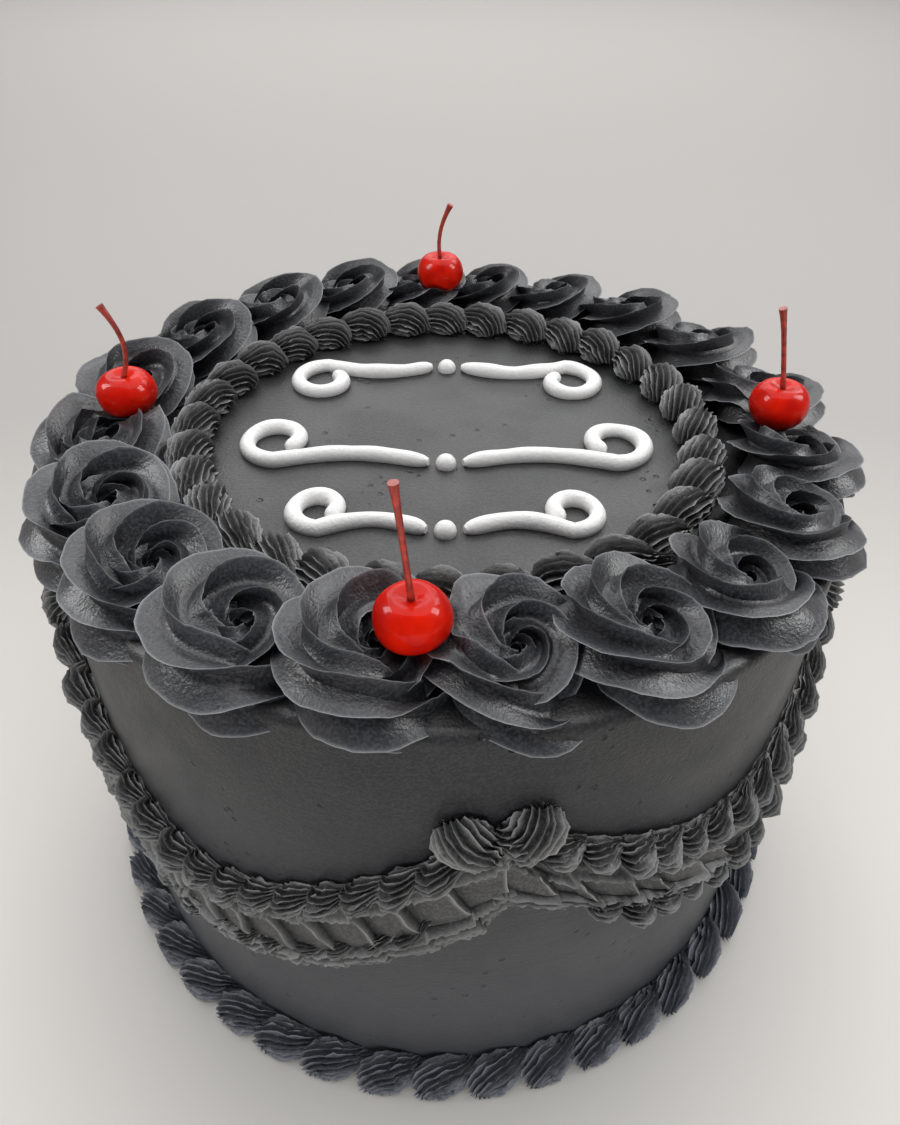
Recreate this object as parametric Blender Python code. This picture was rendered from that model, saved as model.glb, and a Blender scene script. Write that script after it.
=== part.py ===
"""Tall round cake in black buttercream, with rosettes, shell borders, a garland and four cherries.

Metres, +Z up. The origin is the centre of the flat bottom, and the front of the cake faces -Y.
Angles are in degrees, anticlockwise from +X as seen from above. Every piped piece keeps a thin
gap to what it lies on, so that each one stays a body of its own.
"""

import math

import bmesh
import bpy
from mathutils import Vector

GAP = 0.0003
SHARP_ANGLE = 40
SHARP_RIDGE_ANGLE = 25

# Iced body: a smooth cylinder with a slightly rounded top edge
BODY_RADIUS = 0.137
BODY_HEIGHT = 0.192
BODY_SIDES = 64
RIM_ROUND = 0.004
RIM_STEPS = 3

# White piped flourishes on the top: (line in Y, half width, curl radius, side the curls turn to)
FLOURISH_ROWS = (
    (0.052, 0.060, 0.0125, -1),
    (-0.018, 0.072, 0.0130, 1),
    (-0.056, 0.050, 0.0100, 1),
)
PIPING_WIDTH = 0.0056
PIPING_HEIGHT = 0.0044
PIPING_SUNK = 0.0012
WAVE_STEPS = 6
WAVE_DEPTH = 0.005
CURL_STEPS = 9
CURL_SWEEP = 330
CURL_END = 0.42
MIDDLE_GAP = 0.006
BEAD_RADIUS = 0.0036
BEAD_SIDES = 8
ROPE_END_TAPER = 0.7

# Rosettes along the rim, laid anticlockwise, each one over the edge of the one before
ROSETTE_COUNT = 20
ROSETTE_FIRST = -99
ROSETTE_DISTANCE = 0.1195
ROSETTE_RADIUS = 0.0215
ROSETTE_TO_SPACING = 0.61
BACK_CROWDING = 5
ROSETTE_RIDGES = 7
ROSETTE_SWEEP = 140
ROSETTE_SLOPE = 0.16
EDGE_HEIGHT = 0.0014
CENTRE_HEIGHT = 0.0075
# Share of the radius, height above the top, height of the ridges
ROSETTE_RINGS = (
    (0.20, 0.0112, 0.0010),
    (0.42, 0.0138, 0.0016),
    (0.64, 0.0132, 0.0018),
    (0.85, 0.0106, 0.0016),
    (1.00, 0.0050, 0.0008),
)
RIDGE_REACH = 0.04
BITE_SIDES = 28
BITE_LEVELS = (-0.01, 0.04)

# Cherries: (name, angle, distance from the middle, length, lean in X and sideways bow of the stem)
CHERRIES = (
    ("front", -94.2, 0.1122, 0.0340, -0.0035, -0.0008),
    ("right", -1.2, 0.1152, 0.0285, -0.0072, -0.0014),
    ("back", 91.6, 0.1135, 0.0268, 0.0045, -0.0016),
    ("left", 179.2, 0.1118, 0.0275, -0.0020, 0.0034),
)
CHERRY_RADIUS = 0.01025
CHERRY_HALF_HEIGHT = 0.00985
CHERRY_MIDDLE = 0.2084
CHERRY_SIDES = 14
CHERRY_LATITUDES = (-62, -34, -6, 22, 48, 72)
DIMPLE_FLOOR = 0.0056
STEM_RADIUS = 0.0007
STEM_TIP_RADIUS = 0.0014
STEM_SIDES = 6
STEM_STEPS = 6
STEM_SWELL = 6
STEM_LIFT = 0.0016

# Shell borders: share of one shell along the row, and how full the shell is there
SHELL_STATIONS = ((0.0, 0.60), (0.18, 1.0), (0.60, 0.86))
TOP_BORDER_SHELLS = 32
TOP_BORDER_INNER = 0.0822
TOP_BORDER_OUTER = 0.0966
TOP_BORDER_HEIGHT = 0.0122
TAIL_WIDTH = 0.5
FOOT_BORDER_SHELLS = 44
FOOT_BORDER_OUTER = 0.1500
FOOT_BORDER_HEIGHT = 0.0150

# Garland on the side: five swags between five peaks, each peak under a double shell
PEAK_ANGLES = (-163, -83, -11, 58, 128)
PEAK_MIDDLE = 0.141
SWAG_DROPS = (0.053, 0.037, 0.046, 0.050, 0.046)
SWAG_CURVE = 1.6
SWAG_SHELLS = 14
SHELL_VALLEY = 0.62
RUFFLE_SWAP = 1.6
# Height above the middle line, and reach from the wall: shells, ribbon, lower ruffle
SHELL_SECTION = ((0.0215, 0.0003), (0.0185, 0.0062), (0.0122, 0.0094), (0.0055, 0.0068))
RIBBON_SECTION = ((-0.0010, 0.0050), (-0.0080, 0.0062))
RUFFLE_SECTION = ((-0.0130, 0.0074), (-0.0190, 0.0003))
CUT_AWAY_LEVEL = -0.005
CUT_AWAY_SHARE = 0.12

# Double shell on each peak: two fans that meet in a point
FAN_POINT = 0.1395
FAN_LENGTH = 0.0218
FAN_REACH = 0.021
FAN_SPREAD = 108
FAN_RIBS = 7
FAN_BACK = 0.0007
# The outline is a sine curve between these two directions, and never shorter than the notch
FAN_NOTCH = 0.62
FAN_CURVE = (18, 168)
# Share of the length, reach from the wall, height of the ribs
FAN_RINGS = ((0.34, 0.0080, 0.0004), (0.68, 0.0105, 0.0009), (0.92, 0.0085, 0.0009))
FAN_POINT_REACH = 0.0055
FAN_EDGE_REACH = 0.0030


def clear_scene():
    for thing in list(bpy.data.objects):
        bpy.data.objects.remove(thing, do_unlink=True)


def new_material(name, colour, roughness):
    material = bpy.data.materials.new(name)
    material.use_nodes = True
    shader = material.node_tree.nodes["Principled BSDF"]
    shader.inputs["Base Color"].default_value = (*colour, 1.0)
    shader.inputs["Roughness"].default_value = roughness
    shader.inputs["Metallic"].default_value = 0.0
    return material


def on_circle(distance, angle, height):
    """The point at this distance from the cake's axis, in this direction."""
    turn = math.radians(angle)
    return Vector((distance * math.cos(turn), distance * math.sin(turn), height))


def on_wall(angle, along, height, reach):
    """A point this far round the wall from an angle, standing out from the wall by reach."""
    return on_circle(BODY_RADIUS + reach, angle + math.degrees(along / BODY_RADIUS), height)


def add_object(name, bm, material, sharp_angle=SHARP_ANGLE):
    bmesh.ops.recalc_face_normals(bm, faces=bm.faces)
    mesh = bpy.data.meshes.new(name)
    bm.to_mesh(mesh)
    bm.free()
    mesh.shade_smooth()
    mesh.set_sharp_from_angle(angle=math.radians(sharp_angle))
    mesh.materials.append(material)
    thing = bpy.data.objects.new(name, mesh)
    bpy.context.scene.collection.objects.link(thing)
    return thing


def add_loft(bm, rings, closed):
    """Skin over rings of points: joined end to end, or with a flat face at each end."""
    rows = [[bm.verts.new(point) for point in ring] for ring in rings]
    following = rows[1:] + rows[:1] if closed else rows[1:]
    for row, next_row in zip(rows, following):
        for i in range(len(row)):
            j = (i + 1) % len(row)
            bm.faces.new((row[i], row[j], next_row[j], next_row[i]))
    if not closed:
        bm.faces.new(rows[0])
        bm.faces.new(rows[-1])
    return rows


def make_cutter(thing):
    thing.hide_render = True
    thing.display_type = "WIRE"
    return thing


def cut(thing, cutter):
    modifier = thing.modifiers.new("cut_by_" + cutter.name, "BOOLEAN")
    modifier.operation = "DIFFERENCE"
    modifier.solver = "EXACT"
    modifier.object = cutter


# Body and flourishes


def body_profile():
    """Radius and height up the side, ending where the flat top begins."""
    yield BODY_RADIUS, 0.0
    for step in range(RIM_STEPS + 1):
        turn = math.radians(90 * step / RIM_STEPS)
        yield (
            BODY_RADIUS - RIM_ROUND * (1 - math.cos(turn)),
            BODY_HEIGHT - RIM_ROUND * (1 - math.sin(turn)),
        )


def make_body(material):
    bm = bmesh.new()
    rings = [
        [on_circle(radius, 360 * i / BODY_SIDES, height) for i in range(BODY_SIDES)]
        for radius, height in body_profile()
    ]
    add_loft(bm, rings, closed=False)
    return add_object("cake_body", bm, material)


def flourish_line(level, half_width, curl, side):
    """A shallow wave from the middle outwards that ends in an open curl, as points on the top."""
    wave_end = half_width - curl
    points = []
    for step in range(WAVE_STEPS):
        share = step / WAVE_STEPS
        x = MIDDLE_GAP + (wave_end - MIDDLE_GAP) * share
        points.append((x, level + side * WAVE_DEPTH * math.sin(math.pi * share)))
    for step in range(CURL_STEPS + 1):
        share = step / CURL_STEPS
        turn = math.radians(-90 + CURL_SWEEP * share)
        radius = curl * (1 - (1 - CURL_END) * share)
        across = wave_end + radius * math.cos(turn)
        points.append((across, level + side * (curl + radius * math.sin(turn))))
    return points


def piped_rope(bm, line):
    """A rope with a rounded back along a line, its foot sunk into the icing."""
    floor = BODY_HEIGHT - PIPING_SUNK
    half = PIPING_WIDTH / 2
    section = ((-half, 0), (-half, 0.5), (-half * 0.5, 1), (half * 0.5, 1), (half, 0.5), (half, 0))
    rings = []
    for i, (x, y) in enumerate(line):
        before = line[max(i - 1, 0)]
        after = line[min(i + 1, len(line) - 1)]
        ahead = Vector((after[0] - before[0], after[1] - before[1])).normalized()
        taper = ROPE_END_TAPER if i in (0, len(line) - 1) else 1.0
        rings.append(
            [
                Vector(
                    (
                        x - ahead.y * side * taper,
                        y + ahead.x * side * taper,
                        floor + (PIPING_SUNK + PIPING_HEIGHT * taper) * share,
                    )
                )
                for side, share in section
            ]
        )
    add_loft(bm, rings, closed=False)


def add_bead(bm, middle):
    """A small dome between the two halves of a flourish."""
    floor = BODY_HEIGHT - PIPING_SUNK
    levels = ((BEAD_RADIUS, 0.0), (BEAD_RADIUS, 0.5), (BEAD_RADIUS * 0.5, 1.0))
    rings = []
    for radius, share in levels:
        height = floor + (PIPING_SUNK + PIPING_HEIGHT) * share
        ring = [on_circle(radius, 360 * i / BEAD_SIDES, height) for i in range(BEAD_SIDES)]
        rings.append([point + Vector((0, middle, 0)) for point in ring])
    add_loft(bm, rings, closed=False)


def fuse_flourishes(body, material):
    """Adds the white piping to the top of the body, as one solid with it."""
    collection = bpy.data.collections.new("flourishes")
    bpy.context.scene.collection.children.link(collection)
    shapes = []
    for row in FLOURISH_ROWS:
        line = flourish_line(*row)
        shapes.append((piped_rope, line))
        shapes.append((piped_rope, [(-x, y) for x, y in line]))
        shapes.append((add_bead, row[0]))
    for number, (build, where) in enumerate(shapes, 1):
        bm = bmesh.new()
        build(bm, where)
        piece = add_object(f"flourish_{number:02d}", bm, material)
        bpy.context.scene.collection.objects.unlink(piece)
        collection.objects.link(piece)
    union = body.modifiers.new("flourishes", "BOOLEAN")
    union.operation = "UNION"
    union.operand_type = "COLLECTION"
    union.solver = "EXACT"
    union.collection = collection
    bpy.context.view_layer.objects.active = body
    bpy.ops.object.modifier_apply(modifier=union.name)
    body.data.set_sharp_from_angle(angle=math.radians(SHARP_ANGLE))
    for piece in list(collection.objects):
        bpy.data.objects.remove(piece, do_unlink=True)
    bpy.data.collections.remove(collection)


# Shell borders


def border_rings(shells, section):
    """Cross-sections round a border; section gives (distance, height) for how full a shell is."""
    for shell in range(shells):
        for share, fullness in SHELL_STATIONS:
            angle = 360 * (shell + share) / shells
            yield [on_circle(distance, angle, height) for distance, height in section(fullness)]


def top_border_section(fullness):
    middle = (TOP_BORDER_INNER + TOP_BORDER_OUTER) / 2
    half = (TOP_BORDER_OUTER - TOP_BORDER_INNER) / 2 * (TAIL_WIDTH + (1 - TAIL_WIDTH) * fullness)
    floor = BODY_HEIGHT + GAP
    height = TOP_BORDER_HEIGHT * fullness
    shape = ((-1, 0), (-0.9, 0.5), (-0.4, 1), (0.4, 1), (0.9, 0.5), (1, 0))
    return [(middle + half * across, floor + height * up) for across, up in shape]


def foot_border_section(fullness):
    inner = BODY_RADIUS + 2 * GAP
    width = (FOOT_BORDER_OUTER - inner) * fullness
    height = FOOT_BORDER_HEIGHT * fullness
    shape = ((0, 0), (0.92, 0), (1, 0.28), (0.78, 0.74), (0.34, 1), (0, 0.96))
    return [(inner + width * out, height * up) for out, up in shape]


def make_border(name, shells, section, material):
    bm = bmesh.new()
    add_loft(bm, border_rings(shells, section), closed=True)
    return add_object(name, bm, material)


# Rosettes


def rosette_angle(number):
    """Where a rosette stands: even steps, drawn a little towards the sides at the back."""
    even = ROSETTE_FIRST - 360 * number / ROSETTE_COUNT
    wrapped = (even + 180) % 360 - 180
    crowding = BACK_CROWDING * math.sin(math.radians(2 * wrapped)) if wrapped > 0 else 0
    return even + crowding


def rosette_places():
    """Middle point, direction and radius of each rosette, clockwise from beside the front."""
    angles = [rosette_angle(number) for number in range(ROSETTE_COUNT)]
    places = []
    for number, angle in enumerate(angles):
        middle = on_circle(ROSETTE_DISTANCE, angle, BODY_HEIGHT)
        beside = on_circle(ROSETTE_DISTANCE, angles[number - 1], BODY_HEIGHT)
        spacing = (middle - beside).length
        places.append((middle, angle, min(ROSETTE_RADIUS, ROSETTE_TO_SPACING * spacing)))
    return places


def rosette_point(middle, angle, radius, turn, share, height):
    """A point of the swirl, lowered towards the outside of the cake."""
    spoke = on_circle(radius * share, turn, 0)
    outward = spoke.dot(on_circle(1, angle, 0))
    level = max(height - ROSETTE_SLOPE * outward, EDGE_HEIGHT)
    return middle + spoke + Vector((0, 0, level))


def make_rosette(name, middle, angle, radius, material):
    """Ridges that wind inwards anticlockwise round a hollow middle, on a flat foot."""
    bm = bmesh.new()
    sides = 2 * ROSETTE_RIDGES
    rings = []
    for share, height, ridge in ROSETTE_RINGS:
        ring = []
        for i in range(sides):
            crest = 1 if i % 2 == 0 else -1
            turn = angle + 360 * i / sides + ROSETTE_SWEEP * (1 - share)
            reach = share * (1 + RIDGE_REACH * crest)
            ring.append(rosette_point(middle, angle, radius, turn, reach, height + ridge * crest))
        rings.append(ring)
    foot = [Vector((point.x, point.y, BODY_HEIGHT + GAP)) for point in rings[-1]]
    rows = add_loft(bm, rings + [foot], closed=False)
    hollow = bmesh.ops.poke(bm, faces=[face for face in bm.faces if set(face.verts) == set(rows[0])])
    hollow["verts"][0].co = middle + Vector((0, 0, CENTRE_HEIGHT))
    return add_object(name, bm, material, sharp_angle=SHARP_RIDGE_ANGLE)


def bite_cutter(name, middle, radius):
    """The space a rosette takes from the one it overlaps."""
    reach = radius * (1 + RIDGE_REACH) + 2 * GAP
    bm = bmesh.new()
    rings = [
        [middle + on_circle(reach, 360 * i / BITE_SIDES, height) for i in range(BITE_SIDES)]
        for height in BITE_LEVELS
    ]
    add_loft(bm, rings, closed=False)
    return make_cutter(add_object(name, bm, None))


# Cherries


def cherry_rings(middle, grow):
    """Rings of a slightly flattened cherry from the bottom up, made larger by grow."""
    for latitude in CHERRY_LATITUDES:
        turn = math.radians(latitude)
        radius = (CHERRY_RADIUS + grow) * math.cos(turn)
        height = (CHERRY_HALF_HEIGHT + grow) * math.sin(turn)
        yield [
            middle + on_circle(radius, 360 * i / CHERRY_SIDES, height) for i in range(CHERRY_SIDES)
        ]


def make_cherry(name, middle, material):
    bm = bmesh.new()
    rows = add_loft(bm, cherry_rings(middle, 0), closed=False)
    ends = (
        (set(rows[0]), -CHERRY_HALF_HEIGHT),
        (set(rows[-1]), DIMPLE_FLOOR),
    )
    for ring, height in ends:
        cap = [face for face in bm.faces if set(face.verts) == ring]
        tip = bmesh.ops.poke(bm, faces=cap)["verts"][0]
        tip.co = middle + Vector((0, 0, height))
    return add_object(name, bm, material)


def cherry_seat_cutter(name, middle):
    bm = bmesh.new()
    rows = add_loft(bm, cherry_rings(middle, 2 * GAP), closed=False)
    cap = [face for face in bm.faces if set(face.verts) == set(rows[0])]
    tip = bmesh.ops.poke(bm, faces=cap)["verts"][0]
    tip.co = middle - Vector((0, 0, CHERRY_HALF_HEIGHT + 2 * GAP))
    return make_cutter(add_object(name, bm, None))


def make_stem(name, middle, length, lean, bow, material):
    """A thin stem out of the dimple that bends over its length and swells at the tip."""
    bm = bmesh.new()
    foot = middle + Vector((0, 0, DIMPLE_FLOOR + STEM_LIFT))
    rings = []
    for step in range(STEM_STEPS + 1):
        share = step / STEM_STEPS
        sideways = lean * share * share + bow * math.sin(math.pi * share)
        centre = foot + Vector((sideways, 0, length * share))
        radius = STEM_RADIUS + (STEM_TIP_RADIUS - STEM_RADIUS) * share**STEM_SWELL
        rings.append([centre + on_circle(radius, 360 * i / STEM_SIDES, 0) for i in range(STEM_SIDES)])
    add_loft(bm, rings, closed=False)
    return add_object(name, bm, material)


# Garland


def swag_middle(share, drop):
    """Height of a swag's middle line, from one peak (0) to the next (1)."""
    return PEAK_MIDDLE - drop * (1 - abs(2 * share - 1) ** SWAG_CURVE)


def swag_section(share, drop, fullness, under_fan):
    """Heights and reaches of one cross-section, from the shells down to the ruffle."""
    middle = swag_middle(share, drop)
    keep = CUT_AWAY_SHARE if under_fan else 1
    section = []
    for above, reach in SHELL_SECTION:
        height = CUT_AWAY_LEVEL + (above - CUT_AWAY_LEVEL) * keep
        section.append((middle + height, max(GAP, reach * fullness)))
    for above, reach in RIBBON_SECTION:
        section.append((middle + above + CUT_AWAY_LEVEL * (1 - keep), reach))
    for above, reach in RUFFLE_SECTION:
        section.append((middle + above, max(GAP, reach * (RUFFLE_SWAP - fullness))))
    return section


def make_swag(name, start, end, drop, material):
    bm = bmesh.new()
    length = BODY_RADIUS * math.radians(end - start)
    stations = 2 * SWAG_SHELLS
    rings = []
    for station in range(stations + 1):
        share = station / stations
        along = GAP + (length - 2 * GAP) * share
        under_fan = min(along, length - along) < FAN_REACH
        fullness = SHELL_VALLEY if station % 2 == 0 else 1.0
        section = swag_section(share, drop, fullness, under_fan)
        rings.append([on_wall(start, along, height, reach) for height, reach in section])
    add_loft(bm, rings, closed=False)
    return add_object(name, bm, material)


def fan_outline(spoke):
    """Length of the double shell in one direction from its point, longest in each fan."""
    first, last = FAN_CURVE
    turn = math.radians(first + (last - first) * abs(spoke) / FAN_SPREAD)
    return FAN_LENGTH * (FAN_NOTCH + (1 - FAN_NOTCH) * math.sin(turn))


def make_double_shell(name, angle, material):
    bm = bmesh.new()
    spokes = [FAN_SPREAD * (i / FAN_RIBS - 1) for i in range(2 * FAN_RIBS + 1)]

    def place(spoke, share, reach):
        length = fan_outline(spoke) * share
        turn = math.radians(spoke)
        return on_wall(angle, length * math.sin(turn), FAN_POINT + length * math.cos(turn), reach)

    point = bm.verts.new(on_wall(angle, 0, FAN_POINT, FAN_POINT_REACH))
    back = bm.verts.new(on_wall(angle, 0, FAN_POINT, FAN_BACK))
    rows = []
    for share, reach, rib in FAN_RINGS + ((1, FAN_EDGE_REACH, 0), (1, FAN_BACK, 0)):
        row = []
        for i, spoke in enumerate(spokes):
            crest = 1 if i % 2 == 1 else -1
            row.append(bm.verts.new(place(spoke, share, reach + rib * crest)))
        rows.append(row)
    for i in range(len(spokes) - 1):
        bm.faces.new((point, rows[0][i], rows[0][i + 1]))
        for row, next_row in zip(rows, rows[1:]):
            bm.faces.new((row[i], next_row[i], next_row[i + 1], row[i + 1]))
        bm.faces.new((rows[-1][i], back, rows[-1][i + 1]))
    for end in (0, -1):
        bm.faces.new([point] + [row[end] for row in rows] + [back])
    return add_object(name, bm, material, sharp_angle=SHARP_RIDGE_ANGLE)


def near(cherry_middle, rosette_middle, radius):
    apart = cherry_middle - rosette_middle
    return math.hypot(apart.x, apart.y) < radius * (1 + RIDGE_REACH) + CHERRY_RADIUS + 2 * GAP


def main():
    clear_scene()
    black_icing = new_material("black_buttercream", (0.040, 0.039, 0.042), 0.62)
    dark_icing = new_material("black_piping", (0.024, 0.024, 0.027), 0.55)
    white_icing = new_material("white_piping", (0.85, 0.84, 0.83), 0.5)
    cherry_red = new_material("cherry_red", (0.62, 0.012, 0.008), 0.12)
    stem_red = new_material("stem_red", (0.25, 0.012, 0.008), 0.4)

    body = make_body(black_icing)
    fuse_flourishes(body, white_icing)
    make_border("top_border", TOP_BORDER_SHELLS, top_border_section, dark_icing)
    make_border("foot_border", FOOT_BORDER_SHELLS, foot_border_section, dark_icing)

    seats = []
    for side, angle, distance, length, lean, bow in CHERRIES:
        middle = on_circle(distance, angle, CHERRY_MIDDLE)
        make_cherry("cherry_" + side, middle, cherry_red)
        make_stem("stem_" + side, middle, length, lean, bow, stem_red)
        seats.append((middle, cherry_seat_cutter("seat_" + side, middle)))

    places = rosette_places()
    for number, (middle, angle, radius) in enumerate(places):
        rosette = make_rosette(f"rosette_{number + 1:02d}", middle, angle, radius, dark_icing)
        over, _, over_radius = places[number - 1]
        cut(rosette, bite_cutter(f"bite_{number + 1:02d}", over, over_radius))
        for cherry_middle, seat in seats:
            if near(cherry_middle, middle, radius):
                cut(rosette, seat)

    ends = PEAK_ANGLES[1:] + (PEAK_ANGLES[0] + 360,)
    for number, (start, end, drop) in enumerate(zip(PEAK_ANGLES, ends, SWAG_DROPS), 1):
        make_swag(f"swag_{number}", start, end, drop, dark_icing)
        make_double_shell(f"double_shell_{number}", start, dark_icing)


main()
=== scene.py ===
# %% [markdown]
# # A tall cake in black buttercream
#
# This lesson dresses a plain CAD model of a celebration cake. The real cake is a tall round body
# smoothed with a scraper, and all the rest is piped on it through ribbed nozzles: rosettes on the
# rim, shell borders, a garland on the side and white flourishes on the top. Four cherries with
# their stems finish it.
#
# The CAD model gives each piece its place and its size, so nothing has to be fitted here. The
# noise functions in mathutils start from the clock unless they get a seed, so they get one first.
# After that every run of this lesson pipes exactly the same cake.

# %% Load the frame
import math
import random

import bpy
from mathutils import Matrix, Vector, noise


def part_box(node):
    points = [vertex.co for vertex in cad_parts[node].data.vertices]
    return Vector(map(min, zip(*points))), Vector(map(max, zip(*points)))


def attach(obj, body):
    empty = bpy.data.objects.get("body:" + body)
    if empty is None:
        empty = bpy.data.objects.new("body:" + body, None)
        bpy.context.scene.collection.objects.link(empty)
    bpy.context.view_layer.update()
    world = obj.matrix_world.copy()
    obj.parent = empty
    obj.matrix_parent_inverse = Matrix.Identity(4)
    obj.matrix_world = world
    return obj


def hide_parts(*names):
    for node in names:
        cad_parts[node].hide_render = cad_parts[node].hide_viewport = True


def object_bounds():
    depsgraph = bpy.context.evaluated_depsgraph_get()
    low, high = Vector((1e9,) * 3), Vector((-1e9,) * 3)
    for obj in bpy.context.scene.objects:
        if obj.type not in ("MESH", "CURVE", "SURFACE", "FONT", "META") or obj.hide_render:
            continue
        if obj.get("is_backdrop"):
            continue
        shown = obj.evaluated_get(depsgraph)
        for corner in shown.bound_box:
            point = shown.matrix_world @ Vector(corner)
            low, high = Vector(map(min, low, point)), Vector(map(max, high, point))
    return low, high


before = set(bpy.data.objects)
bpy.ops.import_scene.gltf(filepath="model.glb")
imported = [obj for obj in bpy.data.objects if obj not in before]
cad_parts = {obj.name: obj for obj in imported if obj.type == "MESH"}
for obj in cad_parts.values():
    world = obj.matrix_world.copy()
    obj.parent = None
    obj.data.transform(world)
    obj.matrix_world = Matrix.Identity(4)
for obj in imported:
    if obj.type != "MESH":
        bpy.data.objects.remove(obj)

MM = 0.001
NOISE_SEED = 12
noise.seed_set(NOISE_SEED)
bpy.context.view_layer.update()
print("CAD pieces:", len(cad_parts))

# %% [markdown]
# ## Picking things up
#
# Every operator in Blender works on what is selected. The frame comes in selected, and a new
# primitive selects itself, so each step begins by letting go of everything and picking up only
# what it needs. The same holds inside a mesh, for its corners, edges and faces.

# %% Select one object
def pick(thing):
    if bpy.context.mode != "OBJECT":
        bpy.ops.object.mode_set(mode="OBJECT")
    bpy.ops.object.select_all(action="DESELECT")
    thing.select_set(True)
    bpy.context.view_layer.objects.active = thing


def let_go_inside():
    """Deselects all corners, edges and faces of the active mesh."""
    bpy.ops.object.mode_set(mode="EDIT")
    bpy.ops.mesh.select_all(action="DESELECT")
    bpy.ops.object.mode_set(mode="OBJECT")


print("Selected at the start:", len(bpy.context.selected_objects))

# %% [markdown]
# ## Camera
#
# The photo looks down on the cake from a little above its rim. The circles of the top and the
# foot are ellipses in the photo, and their widths and heights together give the place and the
# tilt of the camera. The lens is wide and close, so the top looks larger than the foot. The shift
# moves the picture by a few pixels without turning the camera.

# %% Camera
CAMERA_PLACE = (0.0, -0.2754, 0.3618)
CAMERA_TILT = 50.45
CAMERA_TURN = -0.16
CAMERA_ROLL = 0.6
LENS = 28.48
SENSOR_TALL = 36.0
FRAME_TALL = 1125
SHIFT_PIXELS = (3.0, -1.0)

bpy.ops.object.camera_add(location=CAMERA_PLACE)
camera = bpy.context.object
camera.name = "photo_camera"
camera.rotation_euler = (
    Matrix.Rotation(math.radians(CAMERA_TURN), 3, "Z")
    @ Matrix.Rotation(math.radians(CAMERA_TILT), 3, "X")
    @ Matrix.Rotation(math.radians(CAMERA_ROLL), 3, "Z")
).to_euler()
camera.data.sensor_fit = "VERTICAL"
camera.data.sensor_height = SENSOR_TALL
camera.data.lens = LENS
camera.data.shift_x = SHIFT_PIXELS[0] / FRAME_TALL
camera.data.shift_y = SHIFT_PIXELS[1] / FRAME_TALL
camera.data.clip_start = 0.01
bpy.context.scene.camera = camera
print("Camera height in mm:", round(camera.location.z / MM))

# %% [markdown]
# ## Table
#
# The cake stands on a wide pale table that goes on behind it. One large plane is enough, because
# the change of tone from near to far is painted by its material later. The table is marked as
# stage, so it isn't taken for a part of the cake.

# %% Table
TABLE_SIZE = 14.0
bpy.ops.object.select_all(action="DESELECT")
bpy.ops.mesh.primitive_plane_add(size=TABLE_SIZE, location=(0, 0, 0))
table = bpy.context.object
table.name = "table_top"
table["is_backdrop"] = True
print("Table across in m:", TABLE_SIZE)

# %% [markdown]
# ## Lights
#
# Black icing shows light mostly as sheen, so the lights matter as much as the finishes. A wide
# ceiling light shines on the flat top and leaves the wall under the rosettes in shade, and a
# large one far behind lights the table and the backs of the rosettes.
#
# The others are helpers that would spoil something if they did all that lights do. The two
# upright ones and the window are seen only in reflections: they draw the twin glints on the
# cherries and the sheen on the petals, but cast no light on matt surfaces. The low one in front
# does the opposite. It lifts the foot of the wall and never shows as a glint.

# %% Lights
LIGHTS = (
    ("light_ceiling", (0.1, 0.55, 2.0), (3.0, 3.0), 65.0),
    ("light_window", (1.10, 1.00, 1.10), (0.6, 0.6), 7.0),
    ("light_backdrop", (0.0, 3.20, 2.00), (4.0, 2.2), 62.0),
    ("light_left", (-0.85, 0.0, 0.80), (0.34, 0.55), 10.0),
    ("light_right", (0.85, 0.0, 0.80), (0.34, 0.55), 10.0),
    ("light_low", (-0.10, -1.60, 0.35), (1.2, 0.40), 13.0),
)
ONLY_GLINTS = ("light_left", "light_right", "light_window")
NO_GLINTS = ("light_low",)
AIMED_AT = Vector((0, 0, 0.12))
ROOM_COLOUR = (0.93, 0.95, 1.0, 1)
ROOM_STRENGTH = 0.15

for name, place, (wide, tall), power in LIGHTS:
    bpy.ops.object.light_add(type="AREA", location=place)
    lamp = bpy.context.object
    lamp.name = name
    lamp.data.shape = "RECTANGLE"
    lamp.data.size = wide
    lamp.data.size_y = tall
    lamp.data.energy = power
    lamp.rotation_euler = (AIMED_AT - Vector(place)).to_track_quat("-Z", "Y").to_euler()
    lamp.visible_glossy = name not in NO_GLINTS
    lamp.visible_diffuse = name not in ONLY_GLINTS

room = bpy.data.worlds.new("pale_room")
room.use_nodes = True
room.node_tree.nodes["Background"].inputs["Color"].default_value = ROOM_COLOUR
room.node_tree.nodes["Background"].inputs["Strength"].default_value = ROOM_STRENGTH
bpy.context.scene.world = room
bpy.context.scene.view_settings.view_transform = "Standard"
print("Lights:", len(LIGHTS))

# %% [markdown]
# ## Finishes
#
# Buttercream is never one even colour. Fat and air make it patchy, sugar gives it a fine grain,
# the scraper drags level lines round the wall, and small bubbles leave pits. All of these are
# made from noise on Object coordinates, which are real metres here: a noise scale of 1000 has
# details of about a millimetre.
#
# An effect that several finishes share is made once as a node group that gives out masks and
# heights. These helpers add nodes to any tree, a group's or a material's.

# %% Helpers for nodes
def add_node(tree, kind, **settings):
    node = tree.nodes.new(kind)
    for name, value in settings.items():
        setattr(node, name, value)
    return node


def object_place(tree):
    return add_node(tree, "ShaderNodeTexCoord").outputs["Object"]


def add_noise(tree, place, scale, detail=3.0, stretch=None):
    cloud = add_node(tree, "ShaderNodeTexNoise")
    cloud.inputs["Scale"].default_value = scale
    cloud.inputs["Detail"].default_value = detail
    if stretch:
        mapping = add_node(tree, "ShaderNodeMapping")
        mapping.inputs["Scale"].default_value = stretch
        tree.links.new(place, mapping.inputs["Vector"])
        place = mapping.outputs["Vector"]
    tree.links.new(place, cloud.inputs["Vector"])
    return cloud.outputs["Fac"]


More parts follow.
